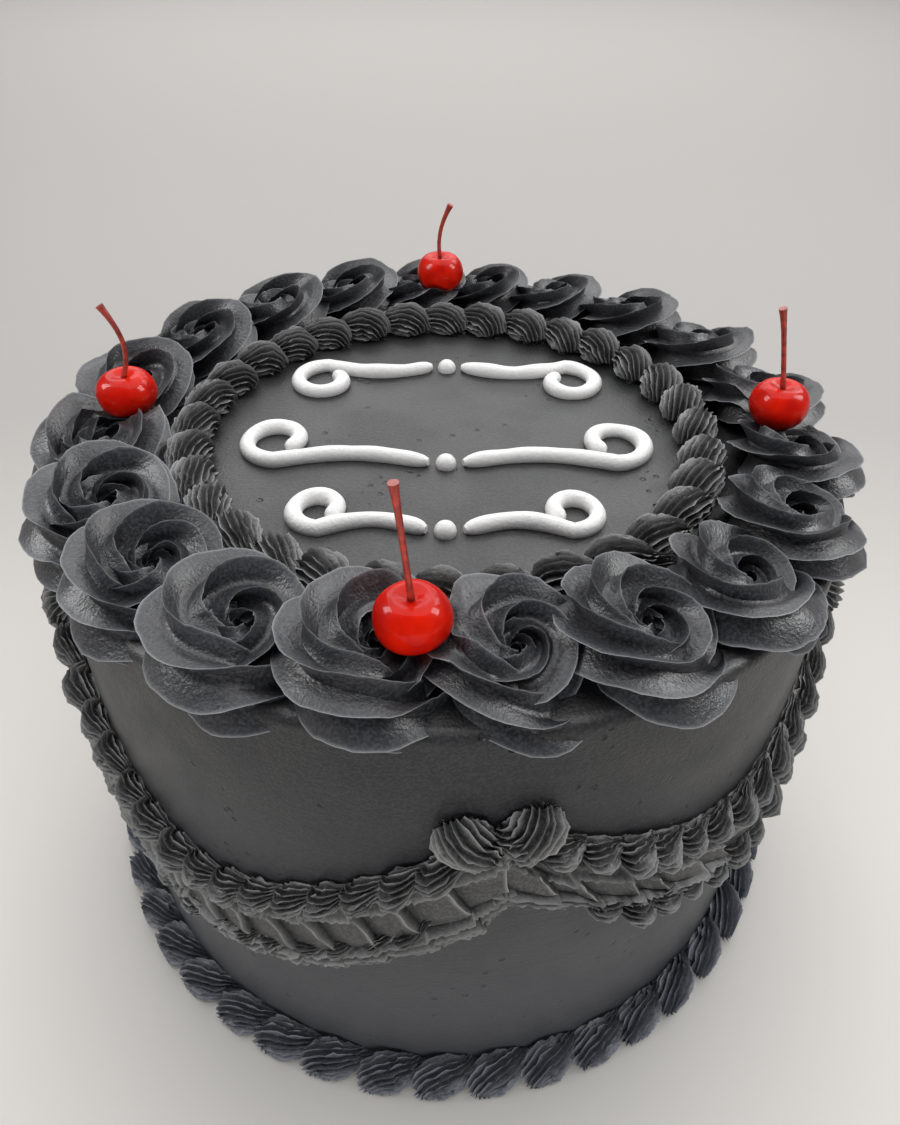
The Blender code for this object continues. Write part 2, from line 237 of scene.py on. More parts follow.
def add_range(tree, value, low, high, to_low=0.0, to_high=1.0):
    """Turns low to high into to_low to to_high, with a soft start and end."""
    step = add_node(tree, "ShaderNodeMapRange")
    step.interpolation_type = "SMOOTHSTEP"
    step.inputs["From Min"].default_value = low
    step.inputs["From Max"].default_value = high
    step.inputs["To Min"].default_value = to_low
    step.inputs["To Max"].default_value = to_high
    tree.links.new(value, step.inputs["Value"])
    return step.outputs["Result"]


# %% [markdown]
# Masks are added up in shares, such as a third of one and half of another. In nodes this takes
# a chain of Math nodes, two for each mask, and a loop can lay that chain.

# %% Sums in nodes
def add_math(tree, operation, first, second):
    step = add_node(tree, "ShaderNodeMath", operation=operation)
    for socket, value in zip(step.inputs, (first, second)):
        if isinstance(value, (int, float)):
            socket.default_value = value
        else:
            tree.links.new(value, socket)
    return step.outputs["Value"]


def add_shares(tree, *shares):
    """Adds up masks, each one times its share."""
    total = None
    for mask, share in shares:
        part = add_math(tree, "MULTIPLY", mask, share)
        total = part if total is None else add_math(tree, "ADD", total, part)
    return total


# %% [markdown]
# The grain gives out four things. Patches are about as large as a thumb, and Speckle is the
# sugar that catches the light. Grain is only a height. Pits are burst bubbles: a cell pattern has
# a dot in every cell, so a second, wide noise keeps the dots of some places and drops the rest.

# %% Grain of buttercream
PATCH_SCALE = 38.0
SPECKLE_SCALE = 1100.0
FINE_SCALE = 1500.0
FINE_SHARE = 0.6
SOFT_SCALE = 760.0
BUBBLE_SCALE = 210.0
BUBBLY_SCALE = 55.0


def new_group(name, outputs):
    tree = bpy.data.node_groups.new(name, "ShaderNodeTree")
    for output in outputs:
        tree.interface.new_socket(output, in_out="OUTPUT", socket_type="NodeSocketFloat")
    return tree, object_place(tree), add_node(tree, "NodeGroupOutput")


grain, place, out = new_group("buttercream_grain", ("Patches", "Speckle", "Grain", "Pits"))
patches = add_range(grain, add_noise(grain, place, PATCH_SCALE, 4.0), 0.30, 0.72)
speckle = add_range(grain, add_noise(grain, place, SPECKLE_SCALE, 3.0), 0.42, 0.62)
fine = add_math(grain, "MULTIPLY", add_noise(grain, place, FINE_SCALE, 2.0), FINE_SHARE)
soft = add_noise(grain, place, SOFT_SCALE, 2.0)
cells = add_node(grain, "ShaderNodeTexVoronoi")
cells.inputs["Scale"].default_value = BUBBLE_SCALE
grain.links.new(place, cells.inputs["Vector"])
bubbles = add_range(grain, cells.outputs["Distance"], 0.10, 0.26, 1.0, 0.0)
bubbly = add_range(grain, add_noise(grain, place, BUBBLY_SCALE, 2.0), 0.56, 0.64)
grain.links.new(patches, out.inputs["Patches"])
grain.links.new(speckle, out.inputs["Speckle"])
grain.links.new(add_math(grain, "ADD", fine, soft), out.inputs["Grain"])
grain.links.new(add_math(grain, "MULTIPLY", bubbles, bubbly), out.inputs["Pits"])
print("Nodes in the grain:", len(grain.nodes))

# %% [markdown]
# A scraper held against a turning cake leaves level lines. Noise that is stretched sideways does
# the same: its scale is small along X and Y and large along Z. Lines are fine, and Bands are the
# broader waves that show only as a slow change in the sheen.

# %% Lines of the scraper
LINE_STRETCH = (5.0, 5.0, 260.0)
BAND_STRETCH = (4.0, 4.0, 34.0)

scraper, place, out = new_group("scraper_lines", ("Lines", "Bands"))
lines = add_range(scraper, add_noise(scraper, place, 1.0, 3.0, LINE_STRETCH), 0.40, 0.60)
bands = add_noise(scraper, place, 1.0, 2.0, BAND_STRETCH)
scraper.links.new(lines, out.inputs["Lines"])
scraper.links.new(bands, out.inputs["Bands"])
print("Nodes in the scraper lines:", len(scraper.nodes))

# %% [markdown]
# ## Materials
#
# A material keeps its own shader and takes masks from the groups. Mixing two colours by a mask is
# the step that comes back most often, so it gets a helper too. A bump node turns a height into
# small changes of the surface's direction, which is enough for anything finer than the mesh.

# %% Helpers for materials
def new_material(name):
    material = bpy.data.materials.new(name)
    material.use_nodes = True
    tree = material.node_tree
    return material, tree, tree.nodes["Principled BSDF"]


def add_group(tree, group):
    return add_node(tree, "ShaderNodeGroup", node_tree=group).outputs


def add_mix(tree, factor, first, second):
    mix = add_node(tree, "ShaderNodeMix", data_type="RGBA")
    tree.links.new(factor, mix.inputs["Factor"])
    for socket, value in ((mix.inputs["A"], first), (mix.inputs["B"], second)):
        if isinstance(value, tuple):
            socket.default_value = (*value, 1.0)
        else:
            tree.links.new(value, socket)
    return mix.outputs["Result"]


def add_bump(tree, shader, height, distance):
    bump = add_node(tree, "ShaderNodeBump")
    bump.inputs["Distance"].default_value = distance
    tree.links.new(height, bump.inputs["Height"])
    tree.links.new(bump.outputs["Normal"], shader.inputs["Normal"])


# %% [markdown]
# The smoothed icing is nearly black. Speckle and patches make it paler in spots, and the pits are
# black again, as painted shade in their hollows. The wall gets slowly paler and bluer towards the
# foot: that is painted light, the bounce from the pale table low down, with the upper wall left
# darker as painted shade under the rosettes. The shader's roughness follows the patches, so the
# sheen on the flat top breaks up as it does on fat.

# %% Smoothed black buttercream
SMOOTH_DARK = (0.0072, 0.0073, 0.0082)
SMOOTH_PALE = (0.0290, 0.0292, 0.0318)
# Painted shade: the pits are darkened to this, as shade in their hollows; the bump below also
# dents them.
PIT_SHADE = (0.010, 0.010, 0.011)
# Painted light: the wall fades to this paler, bluer grey towards the foot, standing in for the
# bounce from the table; the darker upper wall is painted shade under the rosettes.
FOOT_BOUNCE_LIGHT = (0.079, 0.081, 0.089)
FOOT_BOUNCE_SHARE = 0.62
FOOT_BOUNCE_BELOW = 0.03
FOOT_BOUNCE_ENDS = 0.19
SMOOTH_BUMP = 0.0004

smooth_icing, tree, shader = new_material("smoothed_black_buttercream")
marks = add_group(tree, grain)
strokes = add_group(tree, scraper)
tone = add_shares(
    tree, (marks["Patches"], 0.30), (strokes["Lines"], 0.08), (marks["Speckle"], 0.62))
colour = add_mix(tree, tone, SMOOTH_DARK, SMOOTH_PALE)
# Painted shade in the pits.
colour = add_mix(tree, marks["Pits"], colour, PIT_SHADE)
level = add_node(tree, "ShaderNodeSeparateXYZ")
tree.links.new(object_place(tree), level.inputs["Vector"])
# Painted light and shade: most of the paler foot colour at the foot, none under the rosettes.
lower = add_range(tree, level.outputs["Z"], FOOT_BOUNCE_BELOW, FOOT_BOUNCE_ENDS, FOOT_BOUNCE_SHARE, 0.0)
colour = add_mix(tree, lower, colour, FOOT_BOUNCE_LIGHT)
tree.links.new(colour, shader.inputs["Base Color"])
rough = add_range(tree, marks["Patches"], 0, 1, 0.46, 0.58)
tree.links.new(rough, shader.inputs["Roughness"])
height = add_shares(
    tree, (marks["Grain"], 0.50), (strokes["Lines"], 0.08), (strokes["Bands"], 0.8))
height = add_math(tree, "SUBTRACT", height, add_math(tree, "MULTIPLY", marks["Pits"], 1.6))
add_bump(tree, shader, height, SMOOTH_BUMP)
print("Finish:", smooth_icing.name)

# %% [markdown]
# Piped icing carries an attribute called ridge, which is 1 on the crest of each ridge and 0 in
# the channels between them. The material reads it twice. A low power of it makes the whole flank
# of a ridge a little paler than the channel: painted shade in the channels. A high power leaves
# only a hairline on the crest, where the icing is frayed, and that line is rougher and much paler:
# a painted highlight along every crest.
#
# The same recipe gives four finishes: near black for the rosettes, a greyer one for the garland
# and the top border, blue black for the foot, and white for the flourishes. The greyer and the
# blue black ones are paler copies of the black icing with painted light: the greyer one lifts
# shells that lie in shade, and the blue black one is lit as if by the bounce from the table.

# %% Piped buttercream
FLANK_LIGHT_POWER = 0.25
ROUGHER_CREST = 0.14
PIPED_BUMP = 0.00022


def piped_icing(name, channel, crest, edge, highlight_thinness, roughness):
    material, tree, shader = new_material(name)
    marks = add_group(tree, grain)
    ridge = add_node(tree, "ShaderNodeAttribute", attribute_name="ridge").outputs["Fac"]
    # Painted shade: the flanks are lighter than the channels between the ridges.
    lit_flank = add_math(tree, "POWER", ridge, FLANK_LIGHT_POWER)
    paler = add_shares(tree, (marks["Patches"], 0.12), (marks["Speckle"], 0.45), (lit_flank, 0.35))
    colour = add_mix(tree, paler, channel, crest)
    # Painted highlight: a hairline of the edge colour along each crest.
    colour = add_mix(tree, add_math(tree, "POWER", ridge, highlight_thinness), colour, edge)
    tree.links.new(colour, shader.inputs["Base Color"])
    rough = add_range(tree, ridge, 0, 1, roughness, roughness + ROUGHER_CREST)
    tree.links.new(rough, shader.inputs["Roughness"])
    add_bump(tree, shader, marks["Grain"], PIPED_BUMP)
    return material


# The edge colour of each finish is its painted crest highlight.
black_piping = piped_icing(
    "piped_black_buttercream", channel=(0.0054, 0.0056, 0.0068), crest=(0.055, 0.0565, 0.064),
    edge=(0.27, 0.275, 0.290), highlight_thinness=9.0, roughness=0.42)
# Painted light: paler than the rosettes' icing, to lift the shells of the garland and the top
# border out of shade.
garland_piping = piped_icing(
    "piped_garland_buttercream", channel=(0.0130, 0.0130, 0.0136), crest=(0.088, 0.088, 0.088),
    edge=(0.27, 0.27, 0.265), highlight_thinness=2.4, roughness=0.46)
# Partly painted light: bluer like the foot of the wall, and paler as painted bounce light from the
# table.
foot_piping = piped_icing(
    "piped_blue_black_buttercream", channel=(0.0440, 0.0480, 0.0590),
    crest=(0.128, 0.138, 0.162), edge=(0.210, 0.225, 0.255), highlight_thinness=3.0, roughness=0.46)
white_piping = piped_icing(
    "piped_white_buttercream", channel=(0.80, 0.79, 0.78), crest=(0.90, 0.89, 0.88),
    edge=(0.90, 0.89, 0.88), highlight_thinness=3.0, roughness=0.5)
PIPING = (black_piping, garland_piping, foot_piping, white_piping)
print("Piping finishes:", [finish.name for finish in PIPING])

# %% [markdown]
# A candied cherry is a red skin under clear syrup. The red is deep because light goes into the
# flesh, which is what subsurface does, and the syrup is a coat: smooth, with small sharp glints.
# The skin itself hardly shines. The stem is a dry brown red, mottled along its length.

# %% Cherry and stem
MOTTLE_DETAIL = 3.0
MOTTLE_BUMP = 0.0002
CHERRY_GLOSS = {
    "Specular IOR Level": 0.05,
    "Coat Weight": 0.22,
    "Coat Roughness": 0.05,
    "Subsurface Weight": 0.12,
    "Subsurface Scale": 0.003,
}


def mottled(name, dark, pale, scale, roughness):
    material, tree, shader = new_material(name)
    cloud = add_noise(tree, object_place(tree), scale, MOTTLE_DETAIL)
    colour = add_mix(tree, add_range(tree, cloud, 0.3, 0.7), dark, pale)
    tree.links.new(colour, shader.inputs["Base Color"])
    shader.inputs["Roughness"].default_value = roughness
    add_bump(tree, shader, cloud, MOTTLE_BUMP)
    return material, shader


cherry_skin, shader = mottled(
    "candied_cherry", (0.50, 0.005, 0.001), (0.68, 0.011, 0.001), scale=160.0, roughness=0.38)
for socket, value in CHERRY_GLOSS.items():
    shader.inputs[socket].default_value = value
stem_bark, shader = mottled(
    "cherry_stem_bark", (0.20, 0.020, 0.012), (0.46, 0.045, 0.028), scale=420.0, roughness=0.34)
print("Finishes:", cherry_skin.name, "and", stem_bark.name)

# %% [markdown]
# The table is pale card that gets darker behind the cake and a little paler again far away, as
# light falls off and comes back in a room. Its tone follows Y, with a faint cloud so that it is
# nowhere one flat colour.

# %% Table card
TABLE_NEAR = (0.74, 0.715, 0.675)
TABLE_FAR = (0.375, 0.358, 0.340)
TABLE_DISTANT = (0.500, 0.478, 0.455)
NEAR_TO_FAR = (-0.30, 0.45)
FAR_TO_DISTANT = (0.9, 2.6)

table_card, tree, shader = new_material("pale_table")
place = object_place(tree)
depth = add_node(tree, "ShaderNodeSeparateXYZ")
tree.links.new(place, depth.inputs["Vector"])
away = add_range(tree, depth.outputs["Y"], *NEAR_TO_FAR)
cloud = add_math(tree, "MULTIPLY", add_noise(tree, place, 2.0), 0.10)
tone = add_mix(tree, add_math(tree, "ADD", away, cloud), TABLE_NEAR, TABLE_FAR)
distant = add_range(tree, depth.outputs["Y"], *FAR_TO_DISTANT)
tree.links.new(add_mix(tree, distant, tone, TABLE_DISTANT), shader.inputs["Base Color"])
shader.inputs["Roughness"].default_value = 0.7
table.data.materials.append(table_card)
print("Finish:", table_card.name)

# %% [markdown]
# ## Iced body
#
# The body is a cylinder whose top edge the scraper has left slightly rounded. It starts as
# a cylinder primitive with enough sides to look round from close by. Only the ring of edges on
# top is then selected, by its height, and the bevel operator rounds it.

# %% Iced body
BODY_RADIUS = 0.137
BODY_HEIGHT = 0.192
BODY_SIDES = 256
RIM_ROUND = 0.004
RIM_STEPS = 5

bpy.ops.object.select_all(action="DESELECT")
bpy.ops.mesh.primitive_cylinder_add(
    vertices=BODY_SIDES, radius=BODY_RADIUS, depth=BODY_HEIGHT, location=(0, 0, BODY_HEIGHT / 2))
body = bpy.context.object
body.name = "iced_body"
bpy.ops.object.transform_apply(location=True, rotation=True, scale=True)
let_go_inside()
for edge in body.data.edges:
    ends = (body.data.vertices[v].co for v in edge.vertices)
    edge.select = all(end.z > BODY_HEIGHT - 0.1 * MM for end in ends)
bpy.ops.object.mode_set(mode="EDIT")
bpy.ops.mesh.bevel(offset=RIM_ROUND, segments=RIM_STEPS, affect="EDGES")
bpy.ops.object.mode_set(mode="OBJECT")
body.data.materials.append(smooth_icing)
print("Body faces:", len(body.data.polygons))

# %% [markdown]
# ## The nozzle
#
# A piping nozzle is a metal cone with a star cut in its tip. In Blender that star is a flat
# closed curve, and a second curve that has it as bevel object is the rope of icing. The radius of
# each point on the path is how hard the bag is squeezed there, and its tilt is how far the star
# has turned. A mesh could be extruded along the path instead, but the curve keeps path, squeeze
# and star apart, so each is easy to change.
#
# The corners of the star are crowded towards its points, because a thin crest needs more of them
# than a round channel does.

# %% Star nozzles
def make_nozzle(name, points, depth, sharpness, samples, crowding=0.5):
    """A star with this many points, and this many corners from point to point."""
    curve = bpy.data.curves.new(name, "CURVE")
    curve.dimensions = "2D"
    curve.fill_mode = "NONE"
    outline = curve.splines.new("POLY")
    outline.points.add(points * samples - 1)
    outline.use_cyclic_u = True
    for i, point in enumerate(outline.points):
        tooth, part = divmod(i, samples)
        across = 2 * part / samples - 1
        across = 0.5 + 0.5 * math.copysign(abs(across) ** crowding, across)
        turn = 2 * math.pi * (tooth + across) / points
        reach = 1 - depth * abs(math.sin(math.pi * across)) ** sharpness
        point.co = (reach * math.cos(turn), reach * math.sin(turn), 0, 1)
    nozzle = bpy.data.objects.new(name, curve)
    nozzle["samples"] = samples
    bpy.context.scene.collection.objects.link(nozzle)
    return nozzle


rosette_nozzle = make_nozzle("rosette_nozzle", 7, 0.56, 0.62, 10)
wide_nozzle = make_nozzle("wide_nozzle", 6, 0.62, 0.60, 11)
shell_nozzle = make_nozzle("shell_nozzle", 19, 0.32, 0.75, 4, 0.8)
small_nozzle = make_nozzle("small_nozzle", 16, 0.34, 0.75, 4, 0.8)
round_nozzle = make_nozzle("round_nozzle", 1, 0.0, 1.0, 16, 1.0)
NOZZLES = (rosette_nozzle, wide_nozzle, shell_nozzle, small_nozzle, round_nozzle)
print("Nozzle corners:", [len(nozzle.data.splines[0].points) for nozzle in NOZZLES])

# %% [markdown]
# The rope is made a mesh straight away, because a mesh can be pressed and bent like real icing.
# Its corners come ring by ring, in the order of the star, so a corner's number tells whether it
# lies on a crest. That is written into the ridge attribute for the material.

# %% Pipe a rope of icing
RIDGE_FALL = 4
SAME_PLACE = 1e-6


def face_outwards(thing):
    """Merges corners that meet, so that the mesh is closed, and turns its faces outwards."""
    pick(thing)
    bpy.ops.object.mode_set(mode="EDIT")
    bpy.ops.mesh.select_all(action="SELECT")
    bpy.ops.mesh.remove_doubles(threshold=SAME_PLACE)
    bpy.ops.mesh.normals_make_consistent(inside=False)
    bpy.ops.object.mode_set(mode="OBJECT")


def pipe(name, nozzle, path, material, twist="Z_UP"):
    """Icing squeezed along a path of (x, y, z, size, turn), as a closed mesh."""
    curve = bpy.data.curves.new(name, "CURVE")
    curve.dimensions = "3D"
    curve.twist_mode = twist
    curve.bevel_mode = "OBJECT"
    curve.bevel_object = nozzle
    curve.use_fill_caps = True
    line = curve.splines.new("POLY")
    line.points.add(len(path) - 1)
    for point, (x, y, z, size, turn) in zip(line.points, path):
        point.co = (x, y, z, 1)
        point.radius = size
        point.tilt = turn
    rope = bpy.data.objects.new(name, curve)
    bpy.context.scene.collection.objects.link(rope)
    pick(rope)
    bpy.ops.object.convert(target="MESH")
    rope = bpy.context.object
    samples = nozzle["samples"]
    ridge = rope.data.attributes.new("ridge", "FLOAT", "POINT")
    for i, corner in enumerate(ridge.data):
        part = i % samples / samples
        corner.value = (1 - abs(math.sin(math.pi * part))) ** RIDGE_FALL
    rope.data.materials.clear()
    rope.data.materials.append(material)
    face_outwards(rope)
    return rope


# %% [markdown]
# ## White flourishes
#
# The top carries three rows of white piping, squeezed through a plain round nozzle. Each row is
# a bead with a shallow wave to either side that ends in an open curl. The thickness wanders
# a little, as it does when the hand presses unevenly, both ends are drawn thin, and the rope is
# sunk slightly into the icing.

# %% Path of a flourish
PIPING_RADIUS = 0.0029
PIPING_MIDDLE = BODY_HEIGHT + 0.0014
PIPING_WANDER = 0.14
LEVEL_WANDER = 0.0003
WANDER_SCALE = 90
END_THINNING = 0.55
END_POINTS = 1.2
WAVE_STEPS = 26
WAVE_DEPTH = 0.005
CURL_STEPS = 34
CURL_SWEEP = 330
CURL_END = 0.42
MIDDLE_GAP = 0.006


def flourish_line(level, half_width, curl, side):
    """The flat line: a wave from the bead outwards and then a curl that closes in on itself."""
    wave_end = half_width - curl
    flat = []
    for step in range(WAVE_STEPS):
        share = step / WAVE_STEPS
        flat.append((MIDDLE_GAP + (wave_end - MIDDLE_GAP) * share,
                     level + side * WAVE_DEPTH * math.sin(math.pi * share)))
    for step in range(CURL_STEPS + 1):
        share = step / CURL_STEPS
        turn = math.radians(-90 + CURL_SWEEP * share)
        radius = curl * (1 - (1 - CURL_END) * share)
        flat.append((wave_end + radius * math.cos(turn),
                     level + side * (curl + radius * math.sin(turn))))
    return flat


def flourish_path(flat, mirror, seed):
    path = []
    for i, (x, y) in enumerate(flat):
        wander = noise.noise(Vector((x * WANDER_SCALE, y * WANDER_SCALE, seed)))
        ends = min(i, len(flat) - 1 - i)
        size = PIPING_RADIUS * (1 + PIPING_WANDER * wander)
        size *= 1 - END_THINNING * math.exp(-ends / END_POINTS)
        path.append((mirror * x, y, PIPING_MIDDLE + LEVEL_WANDER * wander, size, 0.0))
    return path


print("Points of a flourish:", WAVE_STEPS + CURL_STEPS + 1)

# %% [markdown]
# Each row is piped twice, once to the right and once mirrored to the left, with its own wander.
# The beads are small spheres sunk into the icing. At the end, everything white is joined to the
# body, because the CAD model has them as one piece.

# %% White flourishes
FLOURISH_ROWS = (
    (0.052, 0.060, 0.0125, -1),
    (-0.018, 0.072, 0.0130, 1),
    (-0.056, 0.050, 0.0100, 1),
)
BEAD_RADIUS = 0.0036
BEAD_MIDDLE = BODY_HEIGHT + 0.0008
FLOURISH_SEED_STEP = 3.1


def join(pieces, name):
    pick(pieces[0])
    for piece in pieces:
        piece.select_set(True)
    bpy.ops.object.join()
    whole = bpy.context.object
    whole.name = whole.data.name = name
    return whole


flourishes = []
for number, row in enumerate(FLOURISH_ROWS):
    for mirror in (1, -1):
        path = flourish_path(flourish_line(*row), mirror, FLOURISH_SEED_STEP * number + mirror)
        flourishes.append(pipe(f"flourish_{len(flourishes)}", round_nozzle, path, white_piping))
    bpy.ops.object.select_all(action="DESELECT")
    bpy.ops.mesh.primitive_uv_sphere_add(
        segments=20, ring_count=12, radius=BEAD_RADIUS, location=(0, row[0], BEAD_MIDDLE))
    bead = bpy.context.object
    bpy.ops.object.transform_apply(location=True, rotation=True, scale=True)
    bead.data.materials.append(white_piping)
    flourishes.append(bead)
body = join([body, *flourishes], "iced_body")
print("Body with flourishes:", len(body.data.polygons), "faces")

# %% [markdown]
# ## Handing a piece in
#
# A finished piece rides on the cake's one body and stands for its CAD node, which is hidden.
# Before that it is kept inside the CAD model's width and above the table, as icing is: what would
# go through the table spreads on it instead. Faces are shaded smooth, and only creases sharper
# than a set angle stay sharp.

# %% Hand in a piece
SHARP_ANGLE = 50
WIDEST = 0.1497


def reshape(thing, move):
    """Moves every corner of a mesh to where the function says."""
    for corner in thing.data.vertices:
        corner.co = move(corner.co)
    thing.data.update()


def kept_in(corner):
    """Nothing reaches under the table or out past the CAD model."""
    across = math.hypot(corner.x, corner.y)
    inward = min(1.0, WIDEST / across) if across else 1.0
    return Vector((corner.x * inward, corner.y * inward, max(0.0, corner.z)))


def hand_in(piece, node):
    reshape(piece, kept_in)
    piece.data.shade_smooth()
    piece.data.set_sharp_from_angle(angle=math.radians(SHARP_ANGLE))
    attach(piece, "root")
    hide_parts(node)


hand_in(body, "cake_body")
print("Handed in:", body.name)

# %% [markdown]
# ## Rosettes
#
# A rosette is one rope from a wide open star. The bag is held upright and the hand goes round
# about twice, from the middle outwards, and then the tail is drawn down under the next rosette.
#
# The bag doesn't turn with the hand, or only a little. As seen along the rope, the star then
# winds backwards round it nearly once for each turn, and that is what makes the long thin blades
# that sweep from the rim of a rosette into its hollow. So the tilt of the path is the direction
# of the hand, undone by the share called winding. Four hands with different turns, starts and
# stars give enough variety for the whole rim.

# %% Pipe four rosettes
ROSETTE_STEPS = 112
HOLLOW = 0.0016
LAST_TURN = 0.0132
OPENING_POWER = 0.9
FIRST_SIZE = 0.0046
LAST_SIZE = 0.0098
FIRST_LEVEL = 0.0052
LEVEL_RISE = 0.0026
TAIL_FROM = 0.82
TAIL_REACH = 0.003
TAIL_THINNING = 0.5
TAIL_DIVE = 0.0110


def ease(share):
    """A soft step: 0 up to share 0, 1 from share 1 on, and smooth between them."""
    share = max(0.0, min(1.0, share))
    return share * share * (3 - 2 * share)


def rosette_path(turns, start, phase, opening, winding):
    path = []
    for step in range(ROSETTE_STEPS + 1):
        share = step / ROSETTE_STEPS
        turn = start + 2 * math.pi * turns * share
        grown = ease(share / opening)
        tail = ease((share - TAIL_FROM) / (1 - TAIL_FROM))
        opened = min(1, share / opening) ** OPENING_POWER
        reach = HOLLOW + (LAST_TURN - HOLLOW) * opened + TAIL_REACH * tail
        size = (FIRST_SIZE + (LAST_SIZE - FIRST_SIZE) * grown) * (1 - TAIL_THINNING * tail)
        level = FIRST_LEVEL + LEVEL_RISE * grown - TAIL_DIVE * tail
        path.append((reach * math.cos(turn), reach * math.sin(turn), level, size,
                     phase - winding * turn))
    return path


ROSETTE_HANDS = (
    (rosette_nozzle, 1.8, 0.5, 0.3, 0.75, 0.70), (wide_nozzle, 2.2, 2.3, 0.9, 0.85, 0.80),
    (rosette_nozzle, 2.0, 4.1, 0.0, 0.80, 0.80), (wide_nozzle, 1.8, 5.2, 0.6, 0.75, 0.68),
)
models = [
    pipe(f"rosette_model_{i}", nozzle, rosette_path(*hand), black_piping)
    for i, (nozzle, *hand) in enumerate(ROSETTE_HANDS)
]
print("Faces of each rosette:", [len(model.data.polygons) for model in models])

# %% [markdown]
# ## Places on the rim
#
# Twenty rosettes are laid round the rim, each over the edge of the one before. In the photo they
# are not quite even: they crowd a little behind the cake, and some of the front ones stand
# nearer to the edge than others. These helpers give an angle for each rosette, a point on
# a circle, and the shallow bowl that the weight of a cherry presses into the icing.

# %% Places on the rim
ROSETTE_COUNT = 20
ROSETTE_FIRST = -99
ROSETTE_DISTANCE = 0.1180
BACK_CROWDING = 5
NUDGES = {0: -0.003, 1: 0.001, 15: 0.001, 16: 0.002, 17: 0.001, 18: -0.001, 19: -0.004}
SIDES = ("front", "right", "back", "left")
CHERRY_BOXES = [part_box("cherry_" + side) for side in SIDES]
CHERRY_RADIUS = 0.01025
BOWL_LEVEL = 0.0042
BOWL_SLOPE = 0.9
BOWL_WIDTH = 0.007
BOWL_GIVE = 0.15


def on_circle(distance, angle, height=0.0):
    """The point at this distance from the cake's axis, in this direction in degrees."""
    turn = math.radians(angle)
    return Vector((distance * math.cos(turn), distance * math.sin(turn), height))


def rosette_angle(number):
    even = ROSETTE_FIRST - 360 * number / ROSETTE_COUNT
    wrapped = (even + 180) % 360 - 180
    crowding = BACK_CROWDING * math.sin(math.radians(2 * wrapped)) if wrapped > 0 else 0
    return even + crowding


def pressed(point):
    """Icing near a cherry is pushed down into a shallow bowl."""
    for low, high in CHERRY_BOXES:
        across = math.hypot(point.x - (low.x + high.x) / 2, point.y - (low.y + high.y) / 2)
        beside = across - CHERRY_RADIUS
        if beside < BOWL_WIDTH:
            most = low.z + BOWL_LEVEL + BOWL_SLOPE * max(0.0, beside)
            point.z = min(point.z, most + BOWL_GIVE * max(0.0, point.z - most))
    return point


print("Angles of the rosettes:", [round(rosette_angle(i)) for i in range(ROSETTE_COUNT)])

# %% [markdown]
# ## Shaping a rosette
#
# A model rosette is too regular, so every copy is worked like soft icing. Its lowest blades flare
# into flat petals, its upper ones rise into a cup, and slow and quick noise knead it out of
# shape. Then it leans outwards and down under its neighbour, sags where it hangs past the rim,
# and gives way under the cherries. Last, the crests are frayed: there the icing tears as it
# leaves the metal, which no star can give.

# %% Shape a rosette
KNEAD = 0.0012
KNEAD_SCALE = 70
CREASE = 0.03 * KNEAD
CREASE_SCALE = 480
FLATTEN = 0.83
PETAL_HEIGHT = 0.0065
PETAL_FROM = 0.012
PETAL_WIDTH = 0.008
PETAL_FLARE = 0.0022
CUP_DEPTH = 0.0020
CUP_FROM = 0.009
CUP_WIDTH = 0.010
OUTWARD_SLOPE = 0.10
OVERLAP_SLOPE = 0.11
SAG_FROM = 0.1325
SAG_CURVE = 34.0
ROSETTE_FRAY = 0.00045
ROSETTE_SEED_STEP = 7.3
FRAY_SCALE = 900
TEAR_SCALE = 330


def fray(thing, depth, torn=0.0):
    """Roughens the crests, finely by depth and in longer tears by torn."""
    ridge = thing.data.attributes["ridge"]
    for corner, crest in zip(thing.data.vertices, ridge.data):
        shift = depth * noise.noise_vector(corner.co * FRAY_SCALE)
        shift += torn * noise.noise_vector(corner.co * TEAR_SCALE)
        corner.co += crest.value * shift
    thing.data.update()


def set_rosette(rosette, distance, angle, scale, spin, seed):
    middle = on_circle(distance, angle, BODY_HEIGHT)
    outward = on_circle(1, angle)
    sideways = on_circle(1, angle + 90)
    spun = Matrix.Rotation(spin, 3, "Z")
    shift = Vector((ROSETTE_SEED_STEP * seed, 0, 0))

    def move(corner):
        local = spun @ corner * scale
        local.z *= FLATTEN
        across = math.hypot(local.x, local.y)
        low = ease(1 - local.z / PETAL_HEIGHT)
        flare = PETAL_FLARE * low * ease((across - PETAL_FROM) / PETAL_WIDTH)
        local.z += CUP_DEPTH * (1 - low) * ease((across - CUP_FROM) / CUP_WIDTH)
        local += Vector((local.x, local.y, 0)) * (flare / max(across, MM))
        local += KNEAD * noise.noise_vector(local * KNEAD_SCALE + shift)
        local += CREASE * noise.noise_vector(local * CREASE_SCALE + shift)
        flat = middle + outward * local.x + sideways * local.y
        past_rim = max(0.0, math.hypot(flat.x, flat.y) - SAG_FROM)
        level = local.z - OUTWARD_SLOPE * local.x - OVERLAP_SLOPE * local.y
        return pressed(flat + Vector((0, 0, level - SAG_CURVE * past_rim ** 2)))

    reshape(rosette, move)
    fray(rosette, ROSETTE_FRAY)


# %% [markdown]
# Now the four models are copied round the rim, each copy with a mesh of its own. A copy is scaled
# to the space that it has, and turned so that its tail ends under the next rosette. The dice have
# a seed, so the small differences are the same in every run. The models are deleted at the end.

# %% Set the rosettes on the rim
ROSETTE_RADIUS = 0.0215
ROSETTE_TO_SPACING = 0.61
SWELL = 1.11
TUCKED = math.radians(90)
HAND_STEP = 3
DICE_SEED = 20
dice = random.Random(DICE_SEED)


def own_copy(thing, name):
    twin = thing.copy()
    twin.data = thing.data.copy()
    twin.name = twin.data.name = name
    bpy.context.scene.collection.objects.link(twin)
    return twin


